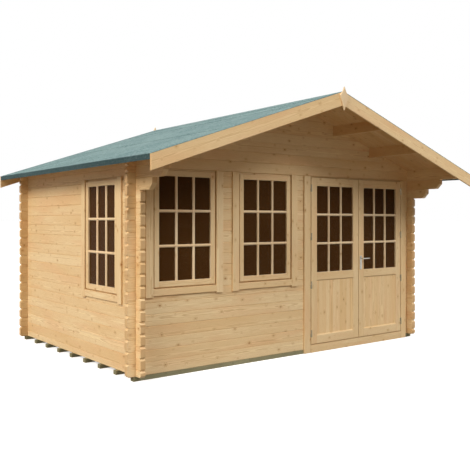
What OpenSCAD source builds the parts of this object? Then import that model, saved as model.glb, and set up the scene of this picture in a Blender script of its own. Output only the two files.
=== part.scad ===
// Garden log cabin: interlocking log walls, a canopied pitched roof, three
// windows and an outward-opening double door. Origin on the ground, at the
// centre of the roof's outline; the front faces -Y.

/* [Walls] */
// Width over the outer faces of the side walls
wall_w = 4084; // [3990:1:5000]
// Depth over the outer faces of the front and back walls
wall_d = 2909; // [2350:1:3600]
// Height of one log course
log_h = 114; // [95:1:140]
// Thickness of the logs
log_t = 52; // [40:1:65]
// How far the log ends stand out past the crossing wall
log_end = 92; // [60:1:130]
// Bevel above and below each log end
end_bevel = 18; // [6:1:24]
// Bevel along the long edges of each log
joint_bevel = 4.5; // [2:0.5:6]
// How far the bottom logs hang below the first course line
base_drop = 8; // [0:1:15]
// Full log courses under the front half log
full_courses = 17; // [16:1:18]

/* [Roof] */
// Slope of the roof in degrees
roof_pitch = 18.8; // [14:0.1:24]
// Roof overhang past the front wall
canopy = 755; // [600:1:950]
// Roof overhang past the back wall
back_over = 200; // [150:1:300]
// Roof overhang past each side wall
eave_over = 272; // [200:1:350]
// Rise of the side walls' outer edge above the last course line
plate_rise = 8; // [2:1:20]
// Thickness of the roof boards
deck_t = 19; // [14:1:28]
// Thickness of the roofing felt
felt_t = 3; // [2:0.5:5]
// How far the felt turns down over the eaves
felt_drop = 50; // [35:1:70]
// Distance from one purlin to the next
purlin_pitch = 640; // [520:1:720]
// Width of the purlins
purlin_w = 50; // [40:1:70]
// Depth of the purlins on their uphill side
purlin_h = 118; // [90:1:140]
// Depth of the ridge purlin
ridge_h = 130; // [100:1:150]
// Depth of the bargeboards, square to the slope
barge_w = 140; // [110:1:170]
// Thickness of the bargeboards
barge_t = 20; // [15:1:28]
// Height of the diamond board at the gable's tip
finial_h = 250; // [200:1:300]
// Width of the diamond board
finial_w = 122; // [60:1:150]
// Thickness of the diamond board
finial_t = 16; // [12:1:20]
// How far the diamond board reaches above the bargeboards
finial_rise = 46; // [20:1:70]
// Forward reach of the lowest bracket log past the front wall
bracket_low = 308; // [220:1:370]
// Forward reach of the next bracket log
bracket_high = 512; // [430:1:620]
// Bevel under the tips of the bracket logs
bracket_bevel = 60; // [30:1:80]

/* [Floor] */
// Height of the floor bearers
bearer_h = 45; // [35:1:70]
// Width of the floor bearers
bearer_w = 60; // [45:1:90]
// Number of floor bearers
bearer_count = 9; // [6:1:12]
// How far the bearers stand out past the side walls
bearer_over = 25; // [0:1:40]
// Thickness of the floor boards
floor_t = 19; // [15:1:28]
// Gap between the floor boards and the walls
floor_gap = 5; // [2:1:10]

/* [Windows] */
// Centre of the first front window from the left outer face
window_1_x = 558; // [540:1:600]
// Centre of the second front window from the left outer face
window_2_x = 1603; // [1560:1:1640]
// Centre of the side window from the front outer face
side_window_y = 728; // [700:1:1100]
// Course line that the front windows stand on
sill_course = 7; // [5:1:9]
// How much lower the side window's head is than the front windows' heads
side_window_drop = 80; // [65:1:105]
// Width of the window sashes
sash_w = 721; // [600:1:740]
// Width of the sash stiles and rails
sash_rail = 53; // [40:1:70]
// Thickness of the window sashes
sash_t = 40; // [36:1:46]
// Gap around the sashes
sash_play = 3; // [2:1:5]
// Thickness of the window linings at the sides
lining_t = 18; // [12:1:24]
// Thickness of the window linings at the head
head_t = 17; // [12:1:24]
// Thickness of the window linings at the sill
sill_t = 28; // [20:1:36]
// Width of the trims beside and under the windows
trim_w = 86; // [60:1:92]
// How far the outer trims stand out from the wall
trim_t = 20; // [12:1:28]
// How far the inner trims stand out from the wall
inner_trim_t = 16; // [12:1:22]
// Groove between the sash and the trims beside and under it
trim_groove = 14; // [8:1:20]
// Depth of the trim under the window
sill_trim_h = 67; // [50:1:80]
// How far the side trims run below the trim under the window
trim_tail = 15; // [5:1:30]

/* [Door] */
// Centre of the double door from the left outer face
door_x = 3078; // [3070:1:3082]
// Width of each door leaf
leaf_w = 792; // [650:1:800]
// Thickness of the door leaves
leaf_t = 44; // [38:1:50]
// Width of the leaf stiles
stile_w = 90; // [75:1:105]
// Width of the leaf rails
rail_w = 95; // [80:1:110]
// Width of the rail between the panel and the panes
mid_rail_w = 86; // [70:1:110]
// Height of the recessed panel in each leaf
panel_h = 645; // [500:1:800]
// Thickness of the recessed panels
panel_t = 16; // [12:1:20]
// Gap beside, over and under the leaves
leaf_gap = 5; // [5:0.5:8]
// Gap between the two leaves
meeting_gap = 10; // [10:0.5:14]
// Width of the boards beside the door
door_trim_w = 104; // [70:1:106]
// Thickness of the door's head lining
door_head_t = 10; // [8:1:20]
// Height of the sill's top above the first course line
door_sill_h = 42; // [30:1:60]
// Thickness of the stop strips behind the leaves
stop_t = 12; // [8:1:13]

/* [Ironmongery] */
// Hinges on each leaf
hinge_count = 4; // [3:1:4]
// Height of a hinge
hinge_h = 80; // [60:1:100]
// Radius of a hinge barrel
hinge_r = 6.5; // [5:0.5:8]
// Radius of a hinge pin
hinge_pin_r = 3; // [2:0.5:4]
// Height of the lowest and highest hinges' centres from the leaf's ends
hinge_inset = 125; // [90:1:200]
// Height of the lever above the first course line
lever_z = 1014; // [950:1:1050]
// Length of the lever
lever_l = 126; // [100:1:140]
// Radius of the lever's grip
lever_r = 9; // [7:0.5:10]
// Distance of the lever's spindle from the leaf's edge
lever_inset = 34; // [30:1:40]
// Width of the handle plates
plate_w = 30; // [26:1:38]
// Height of the handle plates
plate_h = 168; // [140:1:200]
// Thickness of the handle plates
plate_t = 6; // [4:1:8]

/* [Glass] */
// Thickness of the panes
glass_t = 4; // [3:1:6]
// Depth of the groove that holds the glass and the panels
groove_d = 10; // [8:1:12]

/* [Hidden] */

// Gap between fixed pieces that rest on each other
fit = 0.4;
// Oversize of a cutting shape past what it cuts
over = 50;
// Running clearance of pins in their bores
pin_play = 0.1;
// Facets of round parts
round_fn = 48;

// Colours of the finishes
log_colour = "burlywood";
trim_colour = "navajowhite";
deck_colour = "peru";
treated_colour = "darkkhaki";
felt_colour = "cadetblue";
glass_colour = "darkslategray";
metal_colour = "silver";

// How opaque the panes are drawn
glass_alpha = 0.4;

// Overall sizes
half_w = wall_w / 2;
roof_half_w = half_w + eave_over;
roof_d = canopy + wall_d + back_over;
front_y = canopy - roof_d / 2;
back_y = front_y + wall_d;
roof_front_y = -roof_d / 2;
roof_back_y = roof_d / 2;
base_z = bearer_h + base_drop;
slope = tan(roof_pitch);
plumb = 1 / cos(roof_pitch);

// The span from a place over a length, grown at both ends
function span(at, length, grow = 0) = [at - grow, at + length + grow];

// Courses: the front and back logs sit on whole lines, the side logs on halves
head_course = full_courses + 0.5;
top_course = head_course + 1;
function course(k) = base_z + k * log_h;
function mid(k) = course(k + 0.5);
// Share of a course that a log gives up on each side where another crosses it
lap = 0.25;
head_z = course(head_course);
eave_z = course(top_course) + plate_rise;
function soffit(x) = eave_z + (half_w - abs(x)) * slope;
ridge_z = soffit(0);
gable_courses = ceil((ridge_z - course(top_course)) / log_h);

// Roof layers, measured plumb
deck_rise = deck_t * plumb;
felt_rise = deck_rise + felt_t * plumb;
barge_lip = 2;
barge_rise = felt_rise + barge_lip;
barge_drop = barge_w * plumb;

// Half outline of a diamond board: shares of its half width and, from the
// top, of its height
finial_half = [[0.3, 0.8], [1, 0.38], [0.36, 0.2]];

// Front openings
window_xs = [window_1_x - half_w, window_2_x - half_w];
door_cx = door_x - half_w;
window_h = (head_course - sill_course) * log_h;
window_hole_w = sash_w + 2 * (sash_play + lining_t);
sash_h = window_h - head_t - sill_t - 2 * sash_play;
side_window_z = head_z - side_window_drop - window_h;
side_window_cy = front_y + side_window_y;
sash_front = -trim_t / 2;
door_clear_w = 2 * leaf_w + meeting_gap + 2 * leaf_gap;
door_hole_w = door_clear_w + 2 * lining_t;
leaf_z = base_z + door_sill_h + leaf_gap;
leaf_h = head_z - door_head_t - leaf_gap - leaf_z;
leaf_front = -trim_t;
panel_z = rail_w;
pane_z = rail_w + panel_h + mid_rail_w;
pane_h = leaf_h - rail_w - pane_z;

// Where the glass and the panels lie in the thickness of the sashes and leaves
sash_glass_y = sash_front + sash_t / 2 - glass_t / 2;
leaf_glass_y = leaf_t / 2 - glass_t / 2;
leaf_panel_y = leaf_t / 2 - panel_t / 2;

// Clearance of the boards at the foot of the door from the ground
foot_gap = 2;

// Hinge line: in the gap beside the leaf, just in front of its face
hinge_x = door_clear_w / 2 - leaf_gap / 2;
hinge_y = leaf_front - hinge_r - fit;
hinge_pitch = (leaf_h - 2 * hinge_inset) / (hinge_count - 1);

// The hinges' tabs: how far they reach over the wood, and their thickness
hinge_tab = 9;
hinge_tab_t = 3;
// Play between the tip of a hinge pin and the end of its bore
pin_end_play = 1;

// The lever: its place from the door's middle, the grips' distance from the
// leaf, the spindle and the necks around it, and the spindle's play
lever_x = meeting_gap / 2 + lever_inset;
lever_reach = 46;
spindle_r = 4;
neck_r = 7;
spindle_play = 1;
// Share of the handle plates that lies below the spindle
plate_below = 0.8;

// A board's cross-section with its four long edges bevelled
module bevelled(w, h, b) {
    polygon([
        [b, 0], [w - b, 0], [w, b], [w, h - b],
        [w - b, h], [b, h], [0, h - b], [0, b]
    ]);
}

// Extrudes an outline drawn in X and Z from y0 to y1
module slab_y(y0, y1) {
    translate([0, y1, 0])
        rotate([90, 0, 0])
            linear_extrude(y1 - y0) children();
}

// Extrudes an outline drawn in Y and Z from x0 to x1
module slab_x(x0, x1) {
    translate([x0, 0, 0])
        rotate([90, 0, 90])
            linear_extrude(x1 - x0) children();
}

// A box between two places along each axis
module box(x, y, z) {
    translate([x[0], y[0], z[0]])
        cube([x[1] - x[0], y[1] - y[0], z[1] - z[0]]);
}

// Outline of one log seen from its side: bevelled at its free ends
module log_outline(a, b, z, bevel_a, bevel_b) {
    z0 = z[0] + fit / 2;
    z1 = z[1] - fit / 2;
    ca = min(bevel_a, (z1 - z0) / 3);
    cb = min(bevel_b, (z1 - z0) / 3);
    polygon([
        [a + ca, z0], [b - cb, z0], [b, z0 + cb], [b, z1 - cb],
        [b - cb, z1], [a + ca, z1], [a, z1 - ca], [a, z0 + ca]
    ]);
}

// What a crossing log takes from this one at a corner
module corner_notch(at, keep) {
    a = at - fit;
    w = log_t + 2 * fit;
    translate([a, keep[1] - fit / 2]) square([w, log_h + over]);
    translate([a, keep[0] + fit / 2 - log_h - over]) square([w, log_h + over]);
}

// A front or back log: z is its height span, keep the span left at the corners
module cross_log(y, z, keep) {
    a = -half_w - log_end;
    intersection() {
        slab_y(y, y + log_t)
            difference() {
                log_outline(a, -a, z, end_bevel, end_bevel);
                corner_notch(-half_w, keep);
                corner_notch(half_w - log_t, keep);
                roof_void(fit);
            }
        slab_x(a - over, -a + over)
            translate([y, z[0] + fit / 2])
                bevelled(log_t, z[1] - z[0] - fit, joint_bevel);
    }
}

// Outline of everything above the soffit, lowered by a gap
module roof_void(gap) {
    far = roof_half_w + over;
    top = ridge_z + log_h + over;
    polygon([
        [-far, soffit(far) - gap], [0, ridge_z - gap], [far, soffit(far) - gap],
        [far, top], [-far, top]
    ]);
}

// Heights of the front and back logs below the gable
function cross_z(k) = [
    k == 0 ? course(0) - base_drop : course(k),
    k < full_courses ? course(k + 1) : course(head_course)
];
function cross_keep(k) = [
    course(k + lap),
    k < full_courses ? course(k + 1 - lap) : course(head_course)
];
lintel_z = [course(head_course), course(top_course)];
lintel_keep = [course(head_course), mid(head_course)];

module cross_course(y, k) {
    cross_log(y, cross_z(k), cross_keep(k));
}

// Heights of the side logs: a half log first
function side_z(k) = [
    k == 0 ? course(0) - base_drop : course(k - 0.5),
    course(k + 0.5)
];
function side_keep(k) = [
    k == 0 ? course(0) - base_drop : course(k - lap),
    course(k + lap)
];

// A side log in the left wall, reaching front_end and back_end past the walls
module side_log(z, keep, front_end, back_end, bevel_f, bevel_b) {
    a = front_y - front_end;
    b = back_y + back_end;
    intersection() {
        slab_x(-half_w, -half_w + log_t)
            difference() {
                log_outline(a, b, z, bevel_f, bevel_b);
                corner_notch(front_y, keep);
                corner_notch(back_y - log_t, keep);
            }
        slab_y(a - over, b + over)
            translate([-half_w, z[0] + fit / 2])
                bevelled(log_t, z[1] - z[0] - fit, joint_bevel);
    }
}

module side_course(k) {
    side_log(side_z(k), side_keep(k), log_end, log_end, end_bevel, end_bevel);
}

// A bracket log: its front tip reaches past the others and is bevelled below
module bracket_course(k, reach) {
    difference() {
        side_log(side_z(k), side_keep(k), reach, log_end, 0, end_bevel);
        bracket_cut(front_y - reach, side_z(k)[0] + fit / 2);
    }
}

module bracket_cut(tip_y, z) {
    slab_x(-half_w - over, -half_w + log_t + over)
        polygon([
            [tip_y - over, z + bracket_bevel + over],
            [tip_y - over, z - over],
            [tip_y + bracket_bevel + over, z - over]
        ]);
}

// The top side log: its upper face follows the roof boards
module plate_log() {
    z0 = course(head_course) + fit / 2;
    x1 = -half_w + log_t;
    y0 = roof_front_y + barge_t + fit;
    y1 = roof_back_y - barge_t - fit;
    keep = mid(head_course) + fit / 2;
    difference() {
        slab_y(y0, y1)
            polygon([
                [-half_w + joint_bevel, z0], [x1 - joint_bevel, z0],
                [x1, z0 + joint_bevel], [x1, soffit(x1) - fit],
                [-half_w, soffit(half_w) - fit], [-half_w, z0 + joint_bevel]
            ]);
        for (y = [front_y, back_y - log_t])
            box([-half_w - over, x1 + over], [y - fit, y + log_t + fit],
                [z0 - over, keep]);
    }
}

// Rooms cut out of the walls for the windows and the door
module window_hole(h) {
    w = window_hole_w + 2 * fit;
    translate([-w / 2, -over, -fit]) cube([w, log_t + 2 * over, h + 2 * fit]);
}

module at_front_window(i) {
    translate([window_xs[i], front_y, course(sill_course)]) children();
}

module at_side_window() {
    translate([-half_w, side_window_cy, side_window_z])
        rotate([0, 0, -90]) children();
}

module at_door() {
    translate([door_cx, front_y, 0]) children();
}

module front_holes() {
    w = door_hole_w + 2 * fit;
    for (i = [0, 1]) at_front_window(i) window_hole(window_h - fit);
    at_door()
        translate([-w / 2, -over, -over])
            cube([w, log_t + 2 * over, head_z + over]);
}

// The front logs of courses k0 to k1 between two places along the wall
module front_logs(k0, k1, x0, x1) {
    color(log_colour)
        intersection() {
            difference() {
                for (k = [k0:k1]) cross_course(front_y, k);
                front_holes();
            }
            box([x0, x1], [front_y - over, front_y + log_t + over],
                [0, course(top_course)]);
        }
}

module front_wall_low_logs() {
    front_logs(0, sill_course - 1, -half_w - over - log_end, door_cx);
}

module front_wall_corner_logs() {
    front_logs(sill_course, full_courses, -half_w - over - log_end, window_xs[0]);
}

module front_wall_middle_logs() {
    front_logs(sill_course, full_courses, window_xs[0], window_xs[1]);
}

module front_wall_door_logs() {
    front_logs(sill_course, full_courses, window_xs[1], door_cx);
}

module front_wall_right_logs() {
    front_logs(0, full_courses, door_cx, half_w + log_end + over);
}

module front_wall_lintel_log() {
    color(log_colour) cross_log(front_y, lintel_z, lintel_keep);
}

// The gable logs stop at the roof boards and at the plate logs, and the
// purlins pass through them
module gable_logs(y) {
    x = half_w - log_t - fit;
    for (k = [0:gable_courses - 1]) {
        z0 = course(top_course + k);
        intersection() {
            slab_y(y, y + log_t)
                difference() {
                    translate([-x, z0 + fit / 2])
                        square([2 * x, log_h - fit]);
                    roof_void(fit);
                    purlin_outlines(fit);
                }
            slab_x(-half_w, half_w)
                translate([y, z0 + fit / 2])
                    bevelled(log_t, log_h - fit, joint_bevel);
        }
    }
}

module front_gable_logs() {
    color(log_colour) gable_logs(front_y);
}

module back_gable_logs() {
    color(log_colour) gable_logs(back_y - log_t);
}

module back_wall_logs() {
    color(log_colour) {
        for (k = [0:full_courses]) cross_course(back_y - log_t, k);
        cross_log(back_y - log_t, lintel_z, lintel_keep);
    }
}

// The side window stands between these two courses of the side wall
low_side_course = ceil((side_window_z - course(0)) / log_h - 0.5);
high_side_course = floor((side_window_z + window_h - course(0)) / log_h + 0.5);

module left_logs(k0, k1, y0, y1) {
    color(log_colour)
        intersection() {
            difference() {
                for (k = [k0:k1]) left_course(k);
                at_side_window() window_hole(window_h);
            }
            box([-half_w - over, -half_w + log_t + over], [y0, y1],
                [0, course(top_course)]);
        }
}

module left_course(k) {
    if (k == full_courses - 1) bracket_course(k, bracket_low);
    else if (k == full_courses) bracket_course(k, bracket_high);
    else side_course(k);
}

module left_wall_low_logs() {
    left_logs(0, low_side_course, roof_front_y, roof_back_y);
}

module left_wall_front_logs() {
    left_logs(low_side_course + 1, high_side_course - 1,
        roof_front_y, side_window_cy);
}

module left_wall_back_logs() {
    left_logs(low_side_course + 1, high_side_course - 1,
        side_window_cy, roof_back_y);
}

module left_wall_plate_logs() {
    left_logs(high_side_course, full_courses, roof_front_y, roof_back_y);
    color(log_colour) plate_log();
}

module right_wall_logs() {
    color(log_colour)
        mirror([1, 0, 0])
            for (k = [0:full_courses - 2]) side_course(k);
}

module right_wall_plate_logs() {
    color(log_colour)
        mirror([1, 0, 0]) {
            bracket_course(full_courses - 1, bracket_low);
            bracket_course(full_courses, bracket_high);
            plate_log();
        }
}

// Outlines of the purlins, grown by a gap
module side_purlin_outline(x, gap) {
    high = x - purlin_w / 2;
    low = x + purlin_w / 2;
    bottom = soffit(high) - purlin_h;
    polygon([
        [high - gap, bottom - gap], [low + gap, bottom - gap],
        [low + gap, soffit(low + gap) - fit + gap],
        [high - gap, soffit(high - gap) - fit + gap]
    ]);
}

module ridge_purlin_outline(gap) {
    x = purlin_w / 2 + gap;
    bottom = ridge_z - ridge_h - gap;
    polygon([
        [-x, bottom], [x, bottom], [x, soffit(x) - fit + gap],
        [0, ridge_z - fit + gap], [-x, soffit(x) - fit + gap]
    ]);
}

module purlin_outlines(gap) {
    ridge_purlin_outline(gap);
    for (side = [0, 1], i = [1, 2])
        mirror([side, 0]) side_purlin_outline(i * purlin_pitch, gap);
}

module along_roof() {
    slab_y(roof_front_y + barge_t + fit, roof_back_y - barge_t - fit) children();
}

module ridge_purlin() {
    color(log_colour) along_roof() ridge_purlin_outline(0);
}

module side_purlins() {
    color(log_colour)
        for (side = [0, 1], i = [1, 2])
            mirror([side, 0, 0])
                along_roof() side_purlin_outline(i * purlin_pitch, 0);
}

// One side of the roof boards, on the right; its end is cut plumb
module deck_outline() {
    x0 = fit / 2;
    x1 = roof_half_w - felt_t - fit;
    polygon([
        [x0, soffit(x0)], [x1, soffit(x1)],
        [x1, soffit(x1) + deck_rise], [x0, soffit(x0) + deck_rise]
    ]);
}

// One side of the felt, on the right, turned down over the boards' ends
module felt_outline() {
    x0 = fit / 2;
    x1 = roof_half_w - felt_t;
    x2 = roof_half_w;
    lift = deck_rise + fit;
    polygon([
        [x0, soffit(x0) + lift], [x1, soffit(x1) + lift],
        [x1, soffit(x2) + felt_rise - felt_drop],
        [x2, soffit(x2) + felt_rise - felt_drop],
        [x2, soffit(x2) + felt_rise + fit], [x0, soffit(x0) + felt_rise + fit]
    ]);
}

module left_roof_boards() {
    color(deck_colour) mirror([1, 0, 0]) along_roof() deck_outline();
}

module right_roof_boards() {
    color(deck_colour) along_roof() deck_outline();
}

module left_roof_felt() {
    color(felt_colour) mirror([1, 0, 0]) along_roof() felt_outline();
}

module right_roof_felt() {
    color(felt_colour) along_roof() felt_outline();
}

// A pair of bargeboards, mitred plumb at the tip of the gable
module bargeboards(y) {
    x0 = fit / 2;
    x1 = roof_half_w;
    color(trim_colour)
        for (side = [0, 1])
            mirror([side, 0, 0])
                slab_y(y, y + barge_t)
                    polygon([
                        [x0, soffit(x0) + barge_rise],
                        [x1, soffit(x1) + barge_rise],
                        [x1, soffit(x1) + barge_rise - barge_drop],
                        [x0, soffit(x0) + barge_rise - barge_drop]
                    ]);
}

module front_bargeboards() {
    bargeboards(roof_front_y);
}

module back_bargeboards() {
    bargeboards(roof_back_y - barge_t);
}

// The diamond boards over the bargeboards' joints
function finial_point(i, side, top) = [
    side * finial_half[i][0] * finial_w / 2,
    top - finial_half[i][1] * finial_h
];

module finials() {
    top = ridge_z + barge_rise + finial_rise;
    last = len(finial_half) - 1;
    color(trim_colour)
        for (y = [roof_front_y - fit - finial_t, roof_back_y + fit])
            slab_y(y, y + finial_t)
                polygon([
                    [0, top - finial_h],
                    for (i = [0:last]) finial_point(i, 1, top),
                    [0, top],
                    for (i = [last:-1:0]) finial_point(i, -1, top)
                ]);
}

module floor_bearers() {
    x = half_w + bearer_over;
    pitch = (wall_d - bearer_w) / (bearer_count - 1);
    color(treated_colour)
        for (i = [0:bearer_count - 1])
            box([-x, x], span(front_y + i * pitch, bearer_w), [0, bearer_h - fit]);
}

module floor_boards() {
    x = half_w - log_t - floor_gap;
    color(deck_colour)
        box([-x, x], [front_y + log_t + floor_gap, back_y - log_t - floor_gap],
            span(bearer_h, floor_t));
}

// A window frame: linings through the wall, with trims outside and inside.
// Its outer face looks along -Y and it stands on z = 0
module window_frame() {
    out = window_hole_w / 2;
    in = out - lining_t;
    trim_in = sash_w / 2 + trim_groove;
    stop_y = sash_front + sash_t + fit;
    trim_top = sill_t + sash_play - trim_groove;
    low = trim_top - sill_trim_h;
    color(trim_colour) {
        difference() {
            box([-out, out], [-fit, log_t + fit], [0, window_h - fit]);
            box([-in, in], [-over, log_t + over], [sill_t, window_h - head_t]);
        }
        difference() {
            box([-in - fit, in + fit], [stop_y, log_t + fit],
                [sill_t - fit, window_h - head_t + fit]);
            box([-in + stop_t, in - stop_t], [-over, log_t + over],
                [sill_t + stop_t, window_h - head_t - stop_t]);
        }
        for (side = [0, 1])
            mirror([side, 0, 0]) {
                box([trim_in, trim_in + trim_w], [-trim_t, -fit],
                    [low - trim_tail, window_h]);
                box([out - lining_t, out - lining_t + trim_w],
                    [log_t + fit, log_t + inner_trim_t],
                    [low - trim_tail, window_h]);
            }
        box([-trim_in, trim_in], [-trim_t, -fit], [low, trim_top]);
        box([-out, out], [log_t + fit, log_t + inner_trim_t],
            [low, sill_t - sash_play]);
    }
}

module window_sash() {
    w = sash_w / 2;
    in = w - sash_rail;
    groove = in + groove_d + fit;
    z0 = sill_t + sash_play;
    z1 = z0 + sash_h;
    color(trim_colour)
        difference() {
            box([-w, w], span(sash_front, sash_t), [z0, z1]);
            box([-in, in], [-over, over], [z0 + sash_rail, z1 - sash_rail]);
            box([-groove, groove], span(sash_glass_y, glass_t, fit),
                [z0 + sash_rail - groove_d - fit, z1 - sash_rail + groove_d + fit]);
        }
}

module window_pane() {
    in = sash_w / 2 - sash_rail + groove_d;
    z0 = sill_t + sash_play + sash_rail - groove_d;
    z1 = sill_t + sash_play + sash_h - sash_rail + groove_d;
    color(glass_colour, glass_alpha) box([-in, in], span(sash_glass_y, glass_t), [z0, z1]);
}

module front_window_1_frame() {
    at_front_window(0) window_frame();
}

module front_window_1_sash() {
    at_front_window(0) window_sash();
}

module front_window_2_frame() {
    at_front_window(1) window_frame();
}

module front_window_2_sash() {
    at_front_window(1) window_sash();
}

module side_window_frame() {
    at_side_window() window_frame();
}

module side_window_sash() {
    at_side_window() window_sash();
}

module window_glass() {
    for (i = [0, 1]) at_front_window(i) window_pane();
    at_side_window() window_pane();
}

// The door's frame: boards outside and inside, linings, stops and a sill
module door_frame() {
    in = door_clear_w / 2;
    out = in + lining_t;
    top = head_z - fit;
    head = head_z - door_head_t;
    sill = base_z + door_sill_h;
    stop_y = leaf_front + leaf_t + leaf_gap;
    color(trim_colour)
        at_door() {
            for (side = [0, 1])
                mirror([side, 0, 0]) {
                    box([in, out], [-fit, log_t + fit], [bearer_h, top]);
                    box([in - stop_t, in + fit], [stop_y, log_t + fit],
                        [bearer_h, top]);
                    box([in, in + door_trim_w], [-trim_t, -fit], [foot_gap, head_z]);
                    box([in, in + door_trim_w], [log_t + fit, log_t + inner_trim_t],
                        [bearer_h + floor_t + fit, head_z]);
                }
            box([-out, out], [-trim_t, log_t + fit], [head, top]);
            box([-in, in], [stop_y, log_t + fit], [head - stop_t, head + fit]);
            box([-out, out], [-trim_t, log_t + fit], [bearer_h, sill]);
            box([-out, out], [-trim_t, -fit], [foot_gap, sill]);
        }
}

// The hinge line of a leaf; the leaf hangs to the right of it
module at_hinges() {
    translate([-hinge_x, hinge_y, leaf_z + hinge_inset]) children();
}

module frame_hinges() {
    for (i = [0:hinge_count - 1])
        at_hinges()
            translate([0, 0, i * hinge_pitch - hinge_h / 2]) {
                cylinder(h = hinge_h / 2 - fit, r = hinge_r, $fn = round_fn);
                cylinder(h = hinge_h - hinge_r, r = hinge_pin_r, $fn = round_fn);
                hinge_plate(-1);
            }
}

// The tab that fixes a hinge to the board beside it, on one side or the other
module hinge_plate(side) {
    y = hinge_r - hinge_tab_t;
    x = leaf_gap / 2 + hinge_tab;
    box(side > 0 ? [0, x] : [-x, 0], [y, y + hinge_tab_t], [0, hinge_h / 2 - fit]);
}

module leaf_hinges() {
    for (i = [0:hinge_count - 1])
        at_hinges()
            translate([0, 0, i * hinge_pitch])
                difference() {
                    union() {
                        cylinder(h = hinge_h / 2, r = hinge_r, $fn = round_fn);
                        hinge_plate(1);
                    }
                    translate([0, 0, -over])
                        cylinder(h = over + hinge_h / 2 - hinge_r + pin_end_play,
                            r = hinge_pin_r + pin_play, $fn = round_fn);
                }
}

module door_frame_hinges() {
    color(metal_colour)
        at_door()
            for (side = [0, 1])
                mirror([side, 0, 0]) frame_hinges();
}

// One leaf, drawn on the left: stiles and rails around a pane and a panel
module leaf_origin() {
    translate([-door_clear_w / 2 + leaf_gap, leaf_front, leaf_z]) children();
}

module leaf() {
    g = groove_d + fit;
    w = leaf_w - stile_w;
    leaf_origin()
        difference() {
            cube([leaf_w, leaf_t, leaf_h]);
            box([stile_w, w], [-over, leaf_t + over], span(panel_z, panel_h));
            box([stile_w, w], [-over, leaf_t + over], span(pane_z, pane_h));
            box([stile_w - g, w + g], span(leaf_panel_y, panel_t, fit),
                span(panel_z, panel_h, g));
            box([stile_w - g, w + g], span(leaf_glass_y, glass_t, fit),
                span(pane_z, pane_h, g));
        }
}

module leaf_panel() {
    leaf_origin()
        box([stile_w - groove_d, leaf_w - stile_w + groove_d],
            span(leaf_panel_y, panel_t), span(panel_z, panel_h, groove_d));
}

module leaf_glass() {
    leaf_origin()
        box([stile_w - groove_d, leaf_w - stile_w + groove_d],
            span(leaf_glass_y, glass_t), span(pane_z, pane_h, groove_d));
}

module left_door_leaf() {
    color(trim_colour) at_door() leaf();
}

module left_door_panel() {
    color(deck_colour) at_door() leaf_panel();
}

module left_door_glass() {
    color(glass_colour, glass_alpha) at_door() leaf_glass();
}

module left_door_hinges() {
    color(metal_colour) at_door() leaf_hinges();
}

// The right leaf carries the lever, whose spindle passes through its stile
module at_spindle() {
    translate([lever_x, leaf_front, base_z + lever_z])
        rotate([-90, 0, 0]) children();
}

module right_door_leaf() {
    color(trim_colour)
        at_door()
            difference() {
                mirror([1, 0, 0]) leaf();
                at_spindle()
                    translate([0, 0, -over])
                        cylinder(h = leaf_t + 2 * over, r = spindle_r + spindle_play,
                            $fn = round_fn);
            }
}

module right_door_panel() {
    color(deck_colour) at_door() mirror([1, 0, 0]) leaf_panel();
}

module right_door_glass() {
    color(glass_colour, glass_alpha) at_door() mirror([1, 0, 0]) leaf_glass();
}

module right_door_hinges() {
    color(metal_colour) at_door() mirror([1, 0, 0]) leaf_hinges();
}

module door_handle_plates() {
    below = plate_h * plate_below;
    color(metal_colour)
        at_door()
            difference() {
                for (y = [leaf_front - fit - plate_t, leaf_front + leaf_t + fit])
                    translate([lever_x - plate_w / 2, y, base_z + lever_z - below])
                        cube([plate_w, plate_t, plate_h]);
                at_spindle()
                    translate([0, 0, -over])
                        cylinder(h = leaf_t + 2 * over, r = neck_r + pin_play,
                            $fn = round_fn);
            }
}

// The lever: grips outside and inside on one spindle
module door_lever() {
    color(metal_colour)
        at_door()
            at_spindle() {
                translate([0, 0, -lever_reach])
                    cylinder(h = leaf_t + 2 * lever_reach, r = spindle_r,
                        $fn = round_fn);
                for (z = [-lever_reach, leaf_t + fit])
                    translate([0, 0, z])
                        cylinder(h = lever_reach - fit, r = neck_r, $fn = round_fn);
                for (z = [-lever_reach, leaf_t + lever_reach])
                    translate([0, 0, z])
                        rotate([0, 90, 0])
                            cylinder(h = lever_l, r = lever_r, $fn = round_fn);
            }
}

floor_bearers();
floor_boards();
front_wall_low_logs();
front_wall_corner_logs();
front_wall_middle_logs();
front_wall_door_logs();
front_wall_right_logs();
front_wall_lintel_log();
front_gable_logs();
back_wall_logs();
back_gable_logs();
left_wall_low_logs();
left_wall_front_logs();
left_wall_back_logs();
left_wall_plate_logs();
right_wall_logs();
right_wall_plate_logs();
ridge_purlin();
side_purlins();
left_roof_boards();
right_roof_boards();
left_roof_felt();
right_roof_felt();
front_bargeboards();
back_bargeboards();
finials();
front_window_1_frame();
front_window_1_sash();
front_window_2_frame();
front_window_2_sash();
side_window_frame();
side_window_sash();
window_glass();
door_frame();
door_frame_hinges();
left_door_leaf();
left_door_panel();
left_door_glass();
left_door_hinges();
right_door_leaf();
right_door_panel();
right_door_glass();
right_door_hinges();
door_handle_plates();
door_lever();
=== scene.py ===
import math
import random

import bpy
from mathutils import Matrix, Vector


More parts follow.
